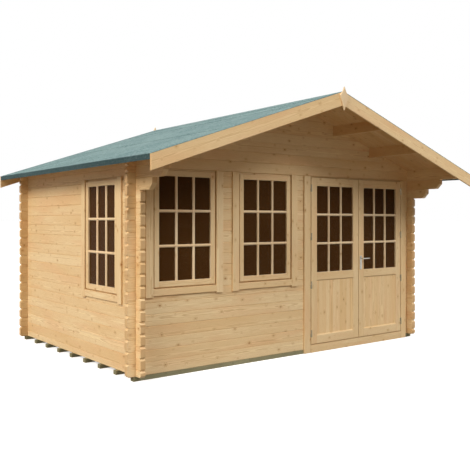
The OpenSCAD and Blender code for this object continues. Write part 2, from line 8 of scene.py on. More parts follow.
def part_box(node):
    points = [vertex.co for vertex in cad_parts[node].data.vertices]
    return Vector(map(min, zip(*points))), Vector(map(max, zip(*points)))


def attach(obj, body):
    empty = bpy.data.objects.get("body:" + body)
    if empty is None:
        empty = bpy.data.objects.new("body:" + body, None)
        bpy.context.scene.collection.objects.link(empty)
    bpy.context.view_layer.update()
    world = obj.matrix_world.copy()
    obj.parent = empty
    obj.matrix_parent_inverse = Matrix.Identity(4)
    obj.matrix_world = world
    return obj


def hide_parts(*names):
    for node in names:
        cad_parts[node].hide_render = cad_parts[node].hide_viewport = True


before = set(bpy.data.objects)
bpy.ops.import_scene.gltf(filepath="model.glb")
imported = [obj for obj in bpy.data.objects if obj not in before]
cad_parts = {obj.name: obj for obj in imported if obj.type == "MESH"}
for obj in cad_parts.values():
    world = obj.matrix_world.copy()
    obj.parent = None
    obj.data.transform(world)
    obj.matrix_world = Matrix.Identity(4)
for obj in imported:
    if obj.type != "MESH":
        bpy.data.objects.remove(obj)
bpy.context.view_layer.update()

# ---- Sizes of the timber and ironmongery, in metres ----
MM = 0.001

LOG_HEIGHT = 114 * MM
BASE_DROP = 8 * MM          # how far the bottom logs hang below the first course line
TONGUE_T = 9 * MM           # thickness and height of the tongues in the joints
TONGUE_END = 30 * MM        # how far the tongues stop short of the logs' ends
END_GRAIN = 0.75            # a face that points this much along the grain is a cut end

ROOF_PITCH = math.radians(18.8)
SLOPE = math.tan(ROOF_PITCH)
PLUMB = 1 / math.cos(ROOF_PITCH)
PURLIN_PITCH = 640 * MM
DECK_THICK = 19 * MM
DECK_COVER = 96 * MM        # width that one roof board covers
FLOOR_COVER = 90 * MM
BARGE_WIDE = 140 * MM
DIAMOND_T = 16 * MM
BEARER_WIDE = 60 * MM
BEARER_COUNT = 9
BEARER_JOINT_X = -654 * MM  # butt joint in the front bearer
BEARER_GAP = 3 * MM

FELT_THICK = 3 * MM
FELT_ROLL = 1000 * MM
FELT_LAP = 80 * MM
FELT_STEP = 20 * MM         # length over which a lap comes down to the boards
FELT_DROP = 50 * MM         # how far the felt hangs down at the eave
FELT_BEND = 6 * MM          # its radius at the bend
VERGE_FELT = 4 * MM         # felt over the bargeboards: its thickness and its lap on the roof
VERGE_LAP = 60 * MM
RIDGE_CAP = 250 * MM        # reach of the capping felt on each side of the ridge
RIDGE_FLAT = 20 * MM
NAIL_PITCH = 150 * MM
NAIL_H = 1.6 * MM           # height of the nails' heads

SASH_RAIL = 53 * MM
TRIM_T = 20 * MM
TRIM_WIDE = 86 * MM
TRIM_TAIL = 15 * MM
INNER_TRIM = 16 * MM
LINING_SIDE = 18 * MM
LINING_HEAD = 17 * MM
LINING_SILL = 28 * MM
REBATE = 14 * MM            # step in the linings' front edges, beside the sash
STOP = 12 * MM
GROOVE = 10 * MM            # depth of the groove that holds glass and panels
SASH_PLAY = 3 * MM
PANE_T = 4 * MM

STILE = 90 * MM
LAMELLA = 58 * MM           # width of the strips that a door panel is glued up from
DOOR_TRIM = 104 * MM
DOOR_LINING = 18 * MM
LEAF_GAP = 5 * MM
HEAD_REBATE = 7 * MM        # step in the head's front edge, above the leaves
SILL_DROP = 5 * MM          # step in the sill's front edge, below the leaves
TRIM_BACK = 5 * MM          # how far the outer trims stand back from the linings' edges
MEETING_LIP = 4 * MM        # how far the left leaf's tongue reaches towards the right leaf

BAR = 28 * MM               # width of a glazing bar
BAR_LIP = 9 * MM            # bevel along each side of a bar
BAR_BACK = 2 * MM           # how far the bars lie behind the face of their rails
BEAD = 3 * MM               # glazing bead around the panes
PANEL_BEAD = 12 * MM        # moulding around a door panel
BEAD_BACK = 1.5 * MM        # how far it lies behind the face of its rails

HINGES = 4                  # on each leaf
HINGE_INSET = 125 * MM      # from the leaf's ends to the middle of the nearest hinge
HINGE_HALF = 40 * MM
HINGE_R = 6.5 * MM
HINGE_TAB = 3 * MM
SCREW_X = 9 * MM            # from the hinge's axis to the screws in its tabs
PLATE_T = 6 * MM
PLATE_CORNER = 9 * MM
PLATE_INSET = 14 * MM       # from the plate's ends to its screws
KEY_DROP = 72 * MM          # from the lever's spindle down to the key
LEVER_REACH = 46 * MM       # from the leaf's face to the middle of the grip
NECK_BEND = 10 * MM

RING = 5 * MM               # width of a growth ring
ARRIS = 2 * MM              # rounding of planed edges
BOARD_ARRIS = 2.5 * MM      # rounding of roof boards and diamonds
HAIR = 0.3 * MM             # hairline between boards that touch

# Sections, in millimetres. The moulding is in shares of its width and depth, from the rail's
# face to the panel; the metal heads are (radius, height), from the root up
COVE = [(0, 0), (0.05, 0.2), (0.35, 0.45), (0.75, 0.9), (0.95, 0.97), (1, 1)]
NAIL_HEAD = [(4, -1), (4, 0.48), (2.8, 1.36), (1, 1.6)]
SCREW_HEAD = [(2.2, -0.4), (2.2, 0.2), (1.4, 0.5), (0.4, 0.6)]
BARREL_CAP = [(6.3, -0.4), (6.1, 1), (4.2, 2.2), (1.2, 2.8)]
PLATE_SCREW = [(3.8, -1), (3.8, 0.1), (2.6, 0.6), (0.8, 0.8)]
KEY_DISC = [(8.5, -1), (8.5, 1.2), (7.6, 1.8), (2.0, 1.8)]

# The handle: its collar and neck as (height on the plate, radius), then the grip from its bend
# to its tip as (place along it, half thickness, half height, sag, turn back to the leaf)
NECK = [(0, 8.6), (2.5, 8.6), (3.5, 7.8), (4, 6.5), (12, 6.2)]
GRIP = [(30, 5.5, 8.2, 0.3, 0), (55, 5.2, 8.0, 0.9, 0), (80, 5.0, 7.6, 1.0, 0.6),
        (102, 4.8, 7.2, 0.5, 2.2), (116, 4.4, 6.6, 0, 4.4), (122, 3.4, 5.0, 0, 5.6),
        (125.5, 1.2, 1.8, 0, 6.4)]

UP, ACROSS = Vector((0, 0, 1)), Vector((1, 0, 0))
FRONT_WALL = Matrix.Identity(3)
LEFT_WALL = Matrix(((0, 1, 0), (-1, 0, 0), (0, 0, 1)))


# ---- Camera, lamps and floor ----
def place_camera():
    """Eye height, left of the cabin, level, looking along the front at about 38 degrees."""
    camera = bpy.data.objects.new("camera", bpy.data.cameras.new("camera"))
    camera.data.sensor_width = 36
    camera.data.lens = 51.27
    camera.data.shift_x = -0.00929
    camera.data.shift_y = -0.03197
    camera.location = (-5.1499, -6.8260, 1.5392)
    camera.rotation_euler = (math.radians(90), 0, math.radians(-37.607))
    bpy.context.collection.objects.link(camera)
    bpy.context.scene.camera = camera


def linear(colour):
    """An sRGB hex colour as linear red, green, blue and alpha."""
    parts = [int(colour[i:i + 2], 16) / 255 for i in (1, 3, 5)]
    return [*(c / 12.92 if c < 0.04045 else ((c + 0.055) / 1.055) ** 2.4 for c in parts), 1]


def add(tree, kind, sockets=(), operation=None, **settings):
    """Adds a shader node. sockets gives its inputs in order, or by name, as values or as
    nodes, and operation says which sum a maths node does."""
    node = tree.nodes.new("ShaderNode" + kind)
    if operation:
        node.operation = operation
    for name, value in settings.items():
        setattr(node, name, value)
    if not isinstance(sockets, dict):
        free = [s for s in node.inputs if s.enabled]
        pairs = zip(free, sockets)
    else:
        pairs = [(node.inputs[name], value) for name, value in sockets.items()]
    for socket, value in pairs:
        if isinstance(value, bpy.types.Node):
            value = next(s for s in value.outputs if s.enabled)
        if isinstance(value, bpy.types.NodeSocket):
            tree.links.new(value, socket)
        elif value is not None:
            socket.default_value = value
    return node


def seen_directly(tree):
    """1 for what the eye, a reflection or the glass shows, 0 for light on its way."""
    path = add(tree, "LightPath").outputs
    seen = add(tree, "Math", [path["Is Camera Ray"], path["Is Glossy Ray"]], "MAXIMUM")
    return add(tree, "Math", [seen, path["Is Transmission Ray"]], "MAXIMUM")


def light_the_studio():
    """A white studio: soft light from all round, and three broad lamps."""
    world = bpy.data.worlds.new("studio")
    bpy.context.scene.world = world
    world.use_nodes = True
    tree = world.node_tree
    tree.nodes.clear()
    soft = add(tree, "Background", {"Color": linear("#FFF6E8"), "Strength": 0.22})
    white = add(tree, "Background", {"Color": linear("#FFFFFF"), "Strength": 1.0})
    mix = add(tree, "MixShader", [seen_directly(tree), soft, white])
    add(tree, "OutputWorld", {"Surface": mix})

    # The key comes from the left, the fill from the front, and the third from behind
    for name, towards, energy, angle, tint in (
        ("key", (0.80, 0.12, -0.55), 2.85, 30, "#FFF9F0"),
        ("fill", (-0.15, 0.74, -0.66), 1.65, 28, "#FFFFFF"),
        ("back", (-0.55, -0.65, -0.50), 1.3, 50, "#FFFFFF"),
    ):
        lamp = bpy.data.objects.new(name, bpy.data.lights.new(name, "SUN"))
        lamp.data.energy = energy
        lamp.data.angle = math.radians(angle)
        lamp.data.color = linear(tint)[:3]
        lamp.rotation_euler = Vector(towards).to_track_quat("-Z", "Y").to_euler()
        bpy.context.collection.objects.link(lamp)
    bpy.context.scene.view_settings.view_transform = "Standard"


def lay_floor():
    """A wide pale floor that shows white, with the cabin's shadow on it."""
    mesh = bpy.data.meshes.new("floor")
    r = 400
    mesh.from_pydata([(-r, -r, 0), (r, -r, 0), (r, r, 0), (-r, r, 0)], [], [(0, 1, 2, 3)])
    floor = bpy.data.objects.new("floor", mesh)
    bpy.context.collection.objects.link(floor)
    material, tree = surface("floor")
    dull = add(tree, "BsdfDiffuse", {"Color": linear("#6E685E")})
    bright = add(tree, "BsdfDiffuse", {"Color": linear("#E8E8E8")})
    glow = add(tree, "Emission", {"Color": linear("#FFFFFF"), "Strength": 0.55})
    bright = add(tree, "AddShader", [bright, glow])
    mix = add(tree, "MixShader", [seen_directly(tree), dull, bright])
    add(tree, "OutputMaterial", {"Surface": mix})
    mesh.materials.append(material)


# ---- Materials ----
def surface(name):
    """A new material and its empty node tree."""
    material = bpy.data.materials.new(name)
    material.use_nodes = True
    material.node_tree.nodes.clear()
    return material, material.node_tree


def coat(tree, sockets):
    """The one shader of a material, with its colour, gloss and relief."""
    add(tree, "OutputMaterial", {"Surface": add(tree, "BsdfPrincipled", sockets)})


def grain_of_boards(tree):
    """Sawn boards carry their own grain: place from the pith, tone and cut ends."""
    spot = add(tree, "Attribute", attribute_name="grain").outputs["Vector"]
    tone = add(tree, "Attribute", attribute_name="tone").outputs["Fac"]
    cut = add(tree, "Attribute", attribute_name="cut").outputs["Fac"]
    return spot, tone, cut


def grain_of_logs(along, centre, base, height, rows, by, seed):
    """Logs lie in rows, each sawn from its own tree: along is the axis that they run on,
    centre the middle of the wall's thickness, and by the axis that the rows follow."""
    deep = "XY"[along == "X"]

    def grain(tree):
        place = add(tree, "TexCoord").outputs["Object"]
        axes = add(tree, "SeparateXYZ", [place]).outputs
        row = add(tree, "Math", [axes[by], base], "SUBTRACT")
        row = add(tree, "Math", [row, height], "DIVIDE")
        row = add(tree, "Math", [row], "FLOOR")
        row = add(tree, "Clamp", [row, rows[0], rows[1]])
        key = add(tree, "CombineXYZ", [row, seed, 0.0])
        chance = add(tree, "TexWhiteNoise", [key], noise_dimensions="2D")
        dice = add(tree, "SeparateColor", [chance.outputs["Color"]]).outputs
        # The pith lies somewhere near the log's middle, or just outside it
        high = add(tree, "Math", [row, height, base + height / 2 + 0.035], "MULTIPLY_ADD")
        high = add(tree, "Math", [axes["Z"], high], "SUBTRACT")
        high = add(tree, "Math", [dice[0], 0.07, high], "MULTIPLY_ADD")
        far = add(tree, "Math", [axes[deep], centre + 0.06], "SUBTRACT")
        far = add(tree, "Math", [dice[1], 0.12, far], "MULTIPLY_ADD")
        run = add(tree, "Math", [dice[2], 40.0, axes[along]], "MULTIPLY_ADD")
        spot = add(tree, "CombineXYZ", [run, high, far])
        normal = add(tree, "SeparateXYZ", [add(tree, "NewGeometry").outputs["Normal"]]).outputs
        cut = add(tree, "Math", [normal[along]], "ABSOLUTE")
        cut = add(tree, "Math", [cut, END_GRAIN], "GREATER_THAN")
        return spot, chance.outputs["Value"], cut

    return grain


def spruce(name, grain, finish, figure=0.42, vary=0.55, gap=0.36, rough=0.6):
    """Spruce: growth rings that wander along the log, fine fibres, rosy streaks, brown knots
    with a warm halo, and darker cut ends. finish gives its colours: pale and warm are the
    wood's two tones, blush is its streaks, and deep is the latewood, which figure strengthens.
    vary says how much one log differs from the next, and gap is the distance between knots.
    The rings are drawn at 5 mm, a little wider than real ones, so that they show."""
    pale, warm, blush, deep, knot = finish
    material, tree = surface(name)
    spot, tone, cut = grain(tree)

    # Three patterns drawn out along the grain: broad, ring-wide, and as fine as fibres
    patterns = []
    for along, wide, detail in ((1.0, 5.0, 2.0), (9.0, 60.0, 2.0), (11.0, 380.0, 3.0)):
        place = add(tree, "VectorMath", [spot, (along, wide, wide)], "MULTIPLY")
        patterns.append(add(tree, "TexNoise", {"Vector": place, "Scale": 1.0, "Detail": detail}))
    slow, quick, fibre = patterns

    # Knots: at most one in each cell, gap long and 100 mm wide; many cells stay clear.
    # They are half as long again as they are wide
    cell = add(tree, "VectorMath", [spot, (1 / gap, 10.0, 0.0)], "MULTIPLY")
    cells = add(tree, "TexVoronoi", {"Vector": cell, "Scale": 1.0}, voronoi_dimensions="2D")
    away = add(tree, "VectorMath", [cell, cells.outputs["Position"]], "SUBTRACT")
    away = add(tree, "VectorMath", [away, (gap / 1.5, 0.1, 0.0)], "MULTIPLY")
    wobble = add(tree, "VectorMath", [quick.outputs["Color"], (0.006, 0.006, 0.0), away],
                 "MULTIPLY_ADD")
    away = add(tree, "VectorMath", [wobble], "LENGTH")
    kind = add(tree, "SeparateColor", [cells.outputs["Color"]]).outputs
    size = add(tree, "MapRange", [kind[0], 0.45, 1.0, 0.0, 0.0085], clamp=False)
    edge = add(tree, "Math", [away, size], "SUBTRACT")
    core, heart, halo = (add(tree, "MapRange", [edge, outer, inner, 0.0, 1.0],
                             interpolation_type="SMOOTHSTEP")
                         for outer, inner in ((0.0015, -0.002), (-0.001, -0.005), (0.022, 0.0)))

    # Rings around the pith, which flow round the knots
    pith = spot
    for pattern, sway in ((slow, 0.035), (quick, 0.003)):
        pith = add(tree, "VectorMath", [pattern.outputs["Color"], (0.0, sway, sway), pith],
                   "MULTIPLY_ADD")
    pith = add(tree, "VectorMath", [pith, (0.0, 1.0, 1.0)], "MULTIPLY")
    ring = add(tree, "VectorMath", [pith], "LENGTH")
    ring = add(tree, "Math", [halo, 0.010, ring], "MULTIPLY_ADD")
    ring = add(tree, "Math", [ring, RING], "DIVIDE")
    ring = add(tree, "Math", [ring], "FRACT")
    late = add(tree, "MapRange", [ring, 0.35, 0.88, 0.0, 1.0], interpolation_type="SMOOTHSTEP")
    early = add(tree, "MapRange", [ring, 0.90, 1.0, 1.0, 0.0], interpolation_type="SMOOTHSTEP")
    late = add(tree, "Math", [late, early], "MULTIPLY")

    shade = add(tree, "MapRange", [slow, 0.3, 0.7, -0.25, 0.45])
    shade = add(tree, "Math", [tone, vary, shade], "MULTIPLY_ADD", use_clamp=True)
    wood = add(tree, "Mix", [shade, linear(pale), linear(warm)], data_type="RGBA")
    streak = add(tree, "SeparateColor", [slow.outputs["Color"]]).outputs[2]
    streak = add(tree, "MapRange", [streak, 0.5, 0.66, 0.0, 1.0])
    fine = add(tree, "MapRange", [fibre, 0.45, 0.75, 0.0, 1.0])
    bold = add(tree, "MapRange", [kind[1], 0.0, 1.0, 0.3, 0.9])
    for mark, share, colour in ((streak, 0.5, blush), (late, figure, deep), (fine, 0.35, deep),
                                (halo, 0.4, deep), (core, bold, knot), (heart, 0.55, deep),
                                (cut, 0.55, deep)):
        share = add(tree, "Math", [mark, share], "MULTIPLY")
        wood = add(tree, "Mix", [share, wood, linear(colour)], data_type="RGBA")

    gloss = add(tree, "MapRange", [late, 0.0, 1.0, rough + 0.06, rough - 0.05])
    relief = add(tree, "Math", [late, 0.5, fibre], "MULTIPLY_ADD")
    bump = add(tree, "Bump", {"Height": relief, "Strength": 0.5, "Distance": 0.4 * MM})
    coat(tree, {"Base Color": wood, "Roughness": gloss, "Normal": bump})
    return material


# Pale, warm, blush, deep and knot for machined logs, planed frames, bargeboards and panels, a
# paler spruce for the glazing bars and diamonds, a darker, warmer copy of the logs' spruce that
# paints shade on the roof and floor boards, the purlins and the logs' tongues, and
# pressure-treated bearers, which are a dull green
SPRUCE = "#F3DAAC", "#E5C28D", "#E9BC8B", "#C1945E", "#A0672F"
PLANED = "#F3DAAD", "#E7C692", "#EAC193", "#C89C64", "#A86E38"
BRIGHT = "#F8DDAE", "#EECB95", "#EFC292", "#CC9F66", "#A86E38"
PALER_SPRUCE = "#F7E2BF", "#EDD1A6", "#EFCBA2", "#D0AC7C", "#A9794A"
SHADE_PAINTED_SPRUCE = "#E6C592", "#D5AC74", "#D6A672", "#AD7F4C", "#7C5028"
TREATED = "#A09A78", "#8A8564", "#8C8262", "#6B6646", "#4C4832"


def mineral_felt(name, light, dark, grit):
    """Roofing felt surfaced with crushed slate: dull grit in two shades, drawn at a few
    millimetres so that it shows, over patches of slightly different colour."""
    material, tree = surface(name)
    place = add(tree, "TexCoord").outputs["Object"]
    grains = add(tree, "TexVoronoi", {"Vector": place, "Scale": 1 / grit})
    dice = add(tree, "SeparateColor", [grains.outputs["Color"]]).outputs
    patch = add(tree, "TexNoise", {"Vector": place, "Scale": 2.2, "Detail": 4.0})
    patch = add(tree, "MapRange", [patch, 0.35, 0.65, -0.12, 0.12], clamp=False)
    shade = add(tree, "Math", [dice[0], 1.0, patch], "MULTIPLY_ADD", use_clamp=True)
    colour = add(tree, "Mix", [shade, linear(light), linear(dark)], data_type="RGBA")
    sag = add(tree, "TexNoise", {"Vector": place, "Scale": 7.0, "Detail": 1.0})
    relief = add(tree, "Math", [sag, 6.0, dice[1]], "MULTIPLY_ADD")
    bump = add(tree, "Bump", {"Height": relief, "Strength": 0.4, "Distance": 0.8 * MM})
    coat(tree, {"Base Color": colour, "Roughness": 0.92, "Specular IOR Level": 0.2,
                "Normal": bump})
    return material


def window_glass():
    """Float glass, which is really clear and smooth. Here it is a brown layer that hides two
    thirds of what is behind it, in place of the dark of an unlit room, so a pane stays dark
    when its door is open. Its IOR is low, so that it stays dark when seen at a slant."""
    material, tree = surface("float_glass")
    place = add(tree, "TexCoord").outputs["Object"]
    roll = add(tree, "TexNoise", {"Vector": place, "Scale": 3.0, "Detail": 1.0})
    tint = add(tree, "Mix", [roll, linear("#503115"), linear("#583A1D")], data_type="RGBA")
    bump = add(tree, "Bump", {"Height": roll, "Strength": 0.05, "Distance": 0.5 * MM})
    coat(tree, {"Base Color": tint, "Roughness": 0.03, "Specular IOR Level": 0.04,
                "Alpha": 0.68, "IOR": 1.25, "Normal": bump})
    return material


def steel(name, light, dark, grain, rough):
    """Steel with fine scratches along the axes in grain, and dulled patches."""
    material, tree = surface(name)
    place = add(tree, "TexCoord").outputs["Object"]
    stretched = add(tree, "VectorMath", [place, grain], "MULTIPLY")
    scratch = add(tree, "TexNoise", {"Vector": stretched, "Scale": 1.0, "Detail": 3.0})
    dull = add(tree, "TexNoise", {"Vector": place, "Scale": 60.0, "Detail": 2.0})
    colour = add(tree, "Mix", [dull, linear(light), linear(dark)], data_type="RGBA")
    gloss = add(tree, "MapRange", [scratch, 0.3, 0.7, rough - 0.06, rough + 0.10])
    bump = add(tree, "Bump", {"Height": scratch, "Strength": 0.2, "Distance": 0.1 * MM})
    coat(tree, {"Base Color": colour, "Metallic": 1.0, "Roughness": gloss, "Normal": bump})
    return material


# ---- Boards, mouldings and metal as meshes ----
class Piece:
    """Collects closed shapes into one mesh."""

    def __init__(self, name):
        self.name, self.points, self.faces = name, [], []

    def build(self, material, slot, body="cabin", replaces=()):
        """Turns what was collected into one piece that rides on a body."""
        mesh = bpy.data.meshes.new(self.name)
        mesh.from_pydata(self.points, [], self.faces)
        mesh.materials.append(material)
        self.dress(mesh)
        mesh.update()
        piece = bpy.data.objects.new(self.name, mesh)
        bpy.context.collection.objects.link(piece)
        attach(piece, body)
        if replaces:
            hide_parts(*replaces)


class Joinery(Piece):
    """Boards and mouldings. Sizes are given along the wall, into the wall and up; wall turns
    them into the cabin's own directions."""

    def __init__(self, name, wall=FRONT_WALL):
        super().__init__(name)
        self.wall, self.dice = wall, random.Random(name)
        self.grain, self.tone, self.cut = [], [], []

    def dress(self, mesh):
        """Stores the grain on the mesh, for the wood's material."""
        for name, kind, key, values in (
            ("grain", "FLOAT_VECTOR", "vector", [c for v in self.grain for c in v]),
            ("tone", "FLOAT", "value", self.tone),
            ("cut", "FLOAT", "value", self.cut),
        ):
            mesh.attributes.new(name, kind, "CORNER").data.foreach_set(key, values)

    def solid(self, points, groups):
        """Adds a closed shape. Each group is (faces, along, wide): its grain's directions."""
        first = len(self.points)
        points = [Vector(p) for p in points]
        self.points += [self.wall @ p for p in points]
        for faces, along, wide in groups:
            deep = along.cross(wide)
            middle = sum((points[i] for face in faces for i in face), Vector())
            middle /= sum(len(face) for face in faces)
            shift = Vector((self.dice.uniform(0, 50), self.dice.uniform(-0.04, 0.04),
                            self.dice.uniform(-0.06, 0.06)))
            tone = self.dice.random()
            for face in faces:
                a, b, c = (points[i] for i in face[:3])
                normal = (b - a).cross(c - a)
                end = normal.length > 0 and abs(normal.normalized().dot(along)) > END_GRAIN
                self.faces.append([first + i for i in face])
                for i in face:
                    p = points[i] - middle
                    self.grain.append(Vector((p.dot(along), p.dot(wide), p.dot(deep))) + shift)
                    self.tone.append(tone)
                    self.cut.append(float(end))

    def board(self, outline, depth, along, wide, arris=ARRIS, steps=2):
        """A board: an outline pushed along depth, with its edges rounded over."""
        outline, depth = [Vector(p) for p in outline], Vector(depth)
        normal = sum((a.cross(b) for a, b in zip(outline, outline[1:] + outline[:1])), Vector())
        if normal.dot(depth) < 0:
            outline.reverse()
        out = depth.normalized()
        arris = min(arris, depth.length / 2.5)
        turns = [math.pi / 2 * i / steps for i in range(steps + 1)] if arris else [0]
        near = [(arris * (1 - math.sin(t)), arris * (1 - math.cos(t))) for t in turns]
        levels = near + [(inset, depth.length - rise) for inset, rise in reversed(near)]
        n = len(outline)
        points = [p + out * rise for inset, rise in levels
                  for p in shrink(outline, out, inset)]
        self.solid(points, [(loft(n, len(levels)), Vector(along).normalized(),
                             Vector(wide).normalized())])

    def length(self, section, y, run, along, wide, arris=0, steps=2):
        """A length of board or felt: a section of (x, z) points pushed backwards from y."""
        self.board([(x, y, z) for x, z in section], (0, run, 0), along, wide, arris, steps)

    def beam(self, low, high, along, arris=ARRIS, steps=2):
        """A straight board between two corners, with its grain along one axis."""
        low, high = Vector(low), Vector(high)
        size = high - low
        run = "xyz".index(along)
        thin, wide = sorted((a for a in range(3) if a != run), key=lambda a: size[a])
        u, v, w = Vector(), Vector(), Vector()
        u[run], v[wide], w[thin] = size[run], size[wide], size[thin]
        self.board([low, low + u, low + u + v, low + v], w, u, v, arris, steps)

    def ring(self, span, height, profile):
        """A mitred frame around a rectangle. profile lists (inset, depth) round its section."""
        points = [(span[i] + inset * (1 - 2 * i), depth, height[j] + inset * (1 - 2 * j))
                  for inset, depth in profile for i, j in ((0, 0), (1, 0), (1, 1), (0, 1))]
        sides = [[], [], [], []]
        n = len(profile)
        for k in range(n):
            for i in range(4):
                a, b = k * 4, (k + 1) % n * 4
                j = (i + 1) % 4
                sides[i].append([a + i, a + j, b + j, b + i])
        self.solid(points, [(sides[0] + sides[2], ACROSS, UP), (sides[1] + sides[3], UP, ACROSS)])

    def lattice(self, span, height, columns, rows, face, back, sign):
        """Glazing bars: one sheet with a bevelled opening for each pane, from face to back."""
        lip = face + sign * BAR_LIP
        xs, inner_xs = bar_lines(span, columns)
        zs, inner_zs = bar_lines(height, rows)
        nx, nz = len(xs), len(zs)
        back_row, lip_row = nx * nz, 2 * nx * nz
        points = [(x, face, z) for z in zs for x in xs]
        points += [(x, y, z) for y in (back, lip) for z in inner_zs for x in inner_xs]
        flats, talls = [], []
        for j in range(nz - 1):
            for i in range(nx - 1):
                ring = [j * nx + i, j * nx + i + 1, (j + 1) * nx + i + 1, (j + 1) * nx + i]
                if i % 2 and j % 2:
                    for e in range(4):
                        a, b = ring[e], ring[(e + 1) % 4]
                        store = talls if e % 2 else flats
                        store.append([a, a + lip_row, b + lip_row, b])
                        store.append([a + lip_row, a + back_row, b + back_row, b + lip_row])
                else:
                    store = talls if j % 2 else flats
                    store += [ring, [a + back_row for a in reversed(ring)]]
        edge = [*range(nx)] + [j * nx + nx - 1 for j in range(1, nz)]
        edge += [(nz - 1) * nx + i for i in range(nx - 2, -1, -1)]
        edge += [j * nx for j in range(nz - 2, 0, -1)]
        for a, b in zip(edge, edge[1:] + edge[:1]):
            flats.append([b, a, a + back_row, b + back_row])
        if sign < 0:
            flats, talls = ([f[::-1] for f in faces] for faces in (flats, talls))
        self.solid(points, [(flats, ACROSS, UP), (talls, UP, ACROSS)])

    def assemble(self, middle, uprights, rails):
        """Uprights on both sides of a middle line, then rails across it: each has its reach
        from the middle, its depths, its heights and its arris in millimetres."""
        for side in (-1, 1):
            for near, far, y0, y1, z0, z1, arris in uprights:
                x0, x1 = sorted((middle + side * near, middle + side * far))
                self.beam((x0, y0, z0), (x1, y1, z1), "z", arris * MM)
        for far, y0, y1, z0, z1, arris in rails:
            self.beam((middle - far, y0, z0), (middle + far, y1, z1), "x", arris * MM)


def loft(n, levels):
    """Faces of a closed shape made of levels, each a ring of n points: both ends, then sides."""
    faces = [[*reversed(range(n))], [*range(n * (levels - 1), n * levels)]]
    for a in range(0, n * (levels - 1), n):
        faces += [[a + i, a + (i + 1) % n, a + n + (i + 1) % n, a + n + i] for i in range(n)]
    return faces


def shrink(outline, out, inset):
    """Moves each edge of a flat outline inwards. out is the outline's own normal."""
    if not inset:
        return list(outline)
    n = len(outline)
    shrunk = []
    for i, p in enumerate(outline):
        before = (p - outline[i - 1]).normalized()
        after = (outline[(i + 1) % n] - p).normalized()
        a, b = out.cross(before), out.cross(after)
        shrunk.append(p + (a + b) * (inset / (1 + a.dot(b))))
    return shrunk


def bar_lines(span, count):
    """Edges of the panes along one direction: at the bars' faces, and behind their bevels."""
    low, high = span
    wide, narrow = [low], [low]
    for i in range(count):
        a, b = (low + (high - low) * k / count for k in (i, i + 1))
        left = a + (BAR / 2 if i else BEAD)
        right = b - (BAR / 2 if i < count - 1 else BEAD)
        narrow += [left, right]
        wide += [left - (BAR_LIP if i else BEAD - HAIR),
                 right + (BAR_LIP if i < count - 1 else BEAD - HAIR)]
    return wide + [high], narrow + [high]


class Metalwork(Piece):
    """Round metal shapes, smooth over their rounds and sharp at their edges."""

    def dress(self, mesh):
        """Shades the rounds smooth."""
        mesh.shade_smooth()
        mesh.set_sharp_from_angle(angle=math.radians(40))

    def swept(self, stations, sides=16):
        """A tube through stations: each is a centre and the half axes of its section."""
        first = len(self.points)
        turns = [2 * math.pi * i / sides for i in range(sides)]
        for centre, a, b in stations:
            self.points += [centre + a * math.cos(t) + b * math.sin(t) for t in turns]
        self.faces += [[first + i for i in face] for face in loft(sides, len(stations))]

    def turned(self, centre, out, side, profile, sides=16):
        """A round shape about out; profile lists (radius, height) in millimetres."""
        centre, out, side = Vector(centre), Vector(out), Vector(side)
        other = out.cross(side)
        self.swept([(centre + out * h * MM, side * r * MM, other * r * MM) for r, h in profile],
                   sides)


# ---- Walls ----
def middle_of(node, axis):
    """The middle of a node's box along one axis."""
    low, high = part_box(node)
    return (low[axis] + high[axis]) / 2


def paint(node, material):
    """Gives a node of the frame its finish."""
    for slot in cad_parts[node].material_slots:
        slot.material = material


def finish_logs():
    """Gives each group of logs its own cut of spruce. The side logs lie half a course lower
    than the front and back logs, and the gables half a course higher."""
    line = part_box("front_wall_low_logs")[0].z + BASE_DROP
    half = line - LOG_HEIGHT / 2
    front, back = middle_of("front_wall_low_logs", 1), middle_of("back_wall_logs", 1)
    left, right = middle_of("left_wall_low_logs", 0), middle_of("right_wall_logs", 0)
    groups = (
        ("X", front, line, "Z", (0, 17), ("front_wall_low_logs", "front_wall_corner_logs",
         "front_wall_middle_logs", "front_wall_door_logs", "front_wall_right_logs")),
        ("X", front, half, "Z", (0, 30), ("front_wall_lintel_log", "front_gable_logs")),
        ("X", back, line, "Z", (0, 17), ("back_wall_logs",)),
        ("X", back, half, "Z", (0, 30), ("back_gable_logs",)),
        ("Y", left, half, "Z", (0, 18), ("left_wall_low_logs", "left_wall_front_logs",
         "left_wall_back_logs", "left_wall_plate_logs")),
        ("Y", right, half, "Z", (0, 18), ("right_wall_logs", "right_wall_plate_logs")),
        ("Y", 0.0, -2.5 * PURLIN_PITCH, "X", (0, 5), ("ridge_purlin", "side_purlins")),
    )
    tongues = Joinery("log_tongues")
    seed = 0.5
    for along, centre, base, by, rows, nodes in groups:
        height = LOG_HEIGHT if by == "Z" else PURLIN_PITCH
        for node in nodes:
            grain = grain_of_logs(along, centre, base, height, rows, by, seed)
            if by == "Z":
                wood = spruce("spruce_" + node, grain, SPRUCE, figure=0.5, vary=0.7)
                join_logs(tongues, node, along, centre, base)
            else:
                # The purlins take the darker copy of spruce, which paints shade on them
                wood = spruce("spruce_" + node, grain, SHADE_PAINTED_SPRUCE)
            paint(node, wood)
            seed += 1
    # The tongues take the same darker copy of spruce: painted shade in the joints
    tongues.build(spruce("spruce_log_tongues", grain_of_boards, SHADE_PAINTED_SPRUCE), "spruce_logs")


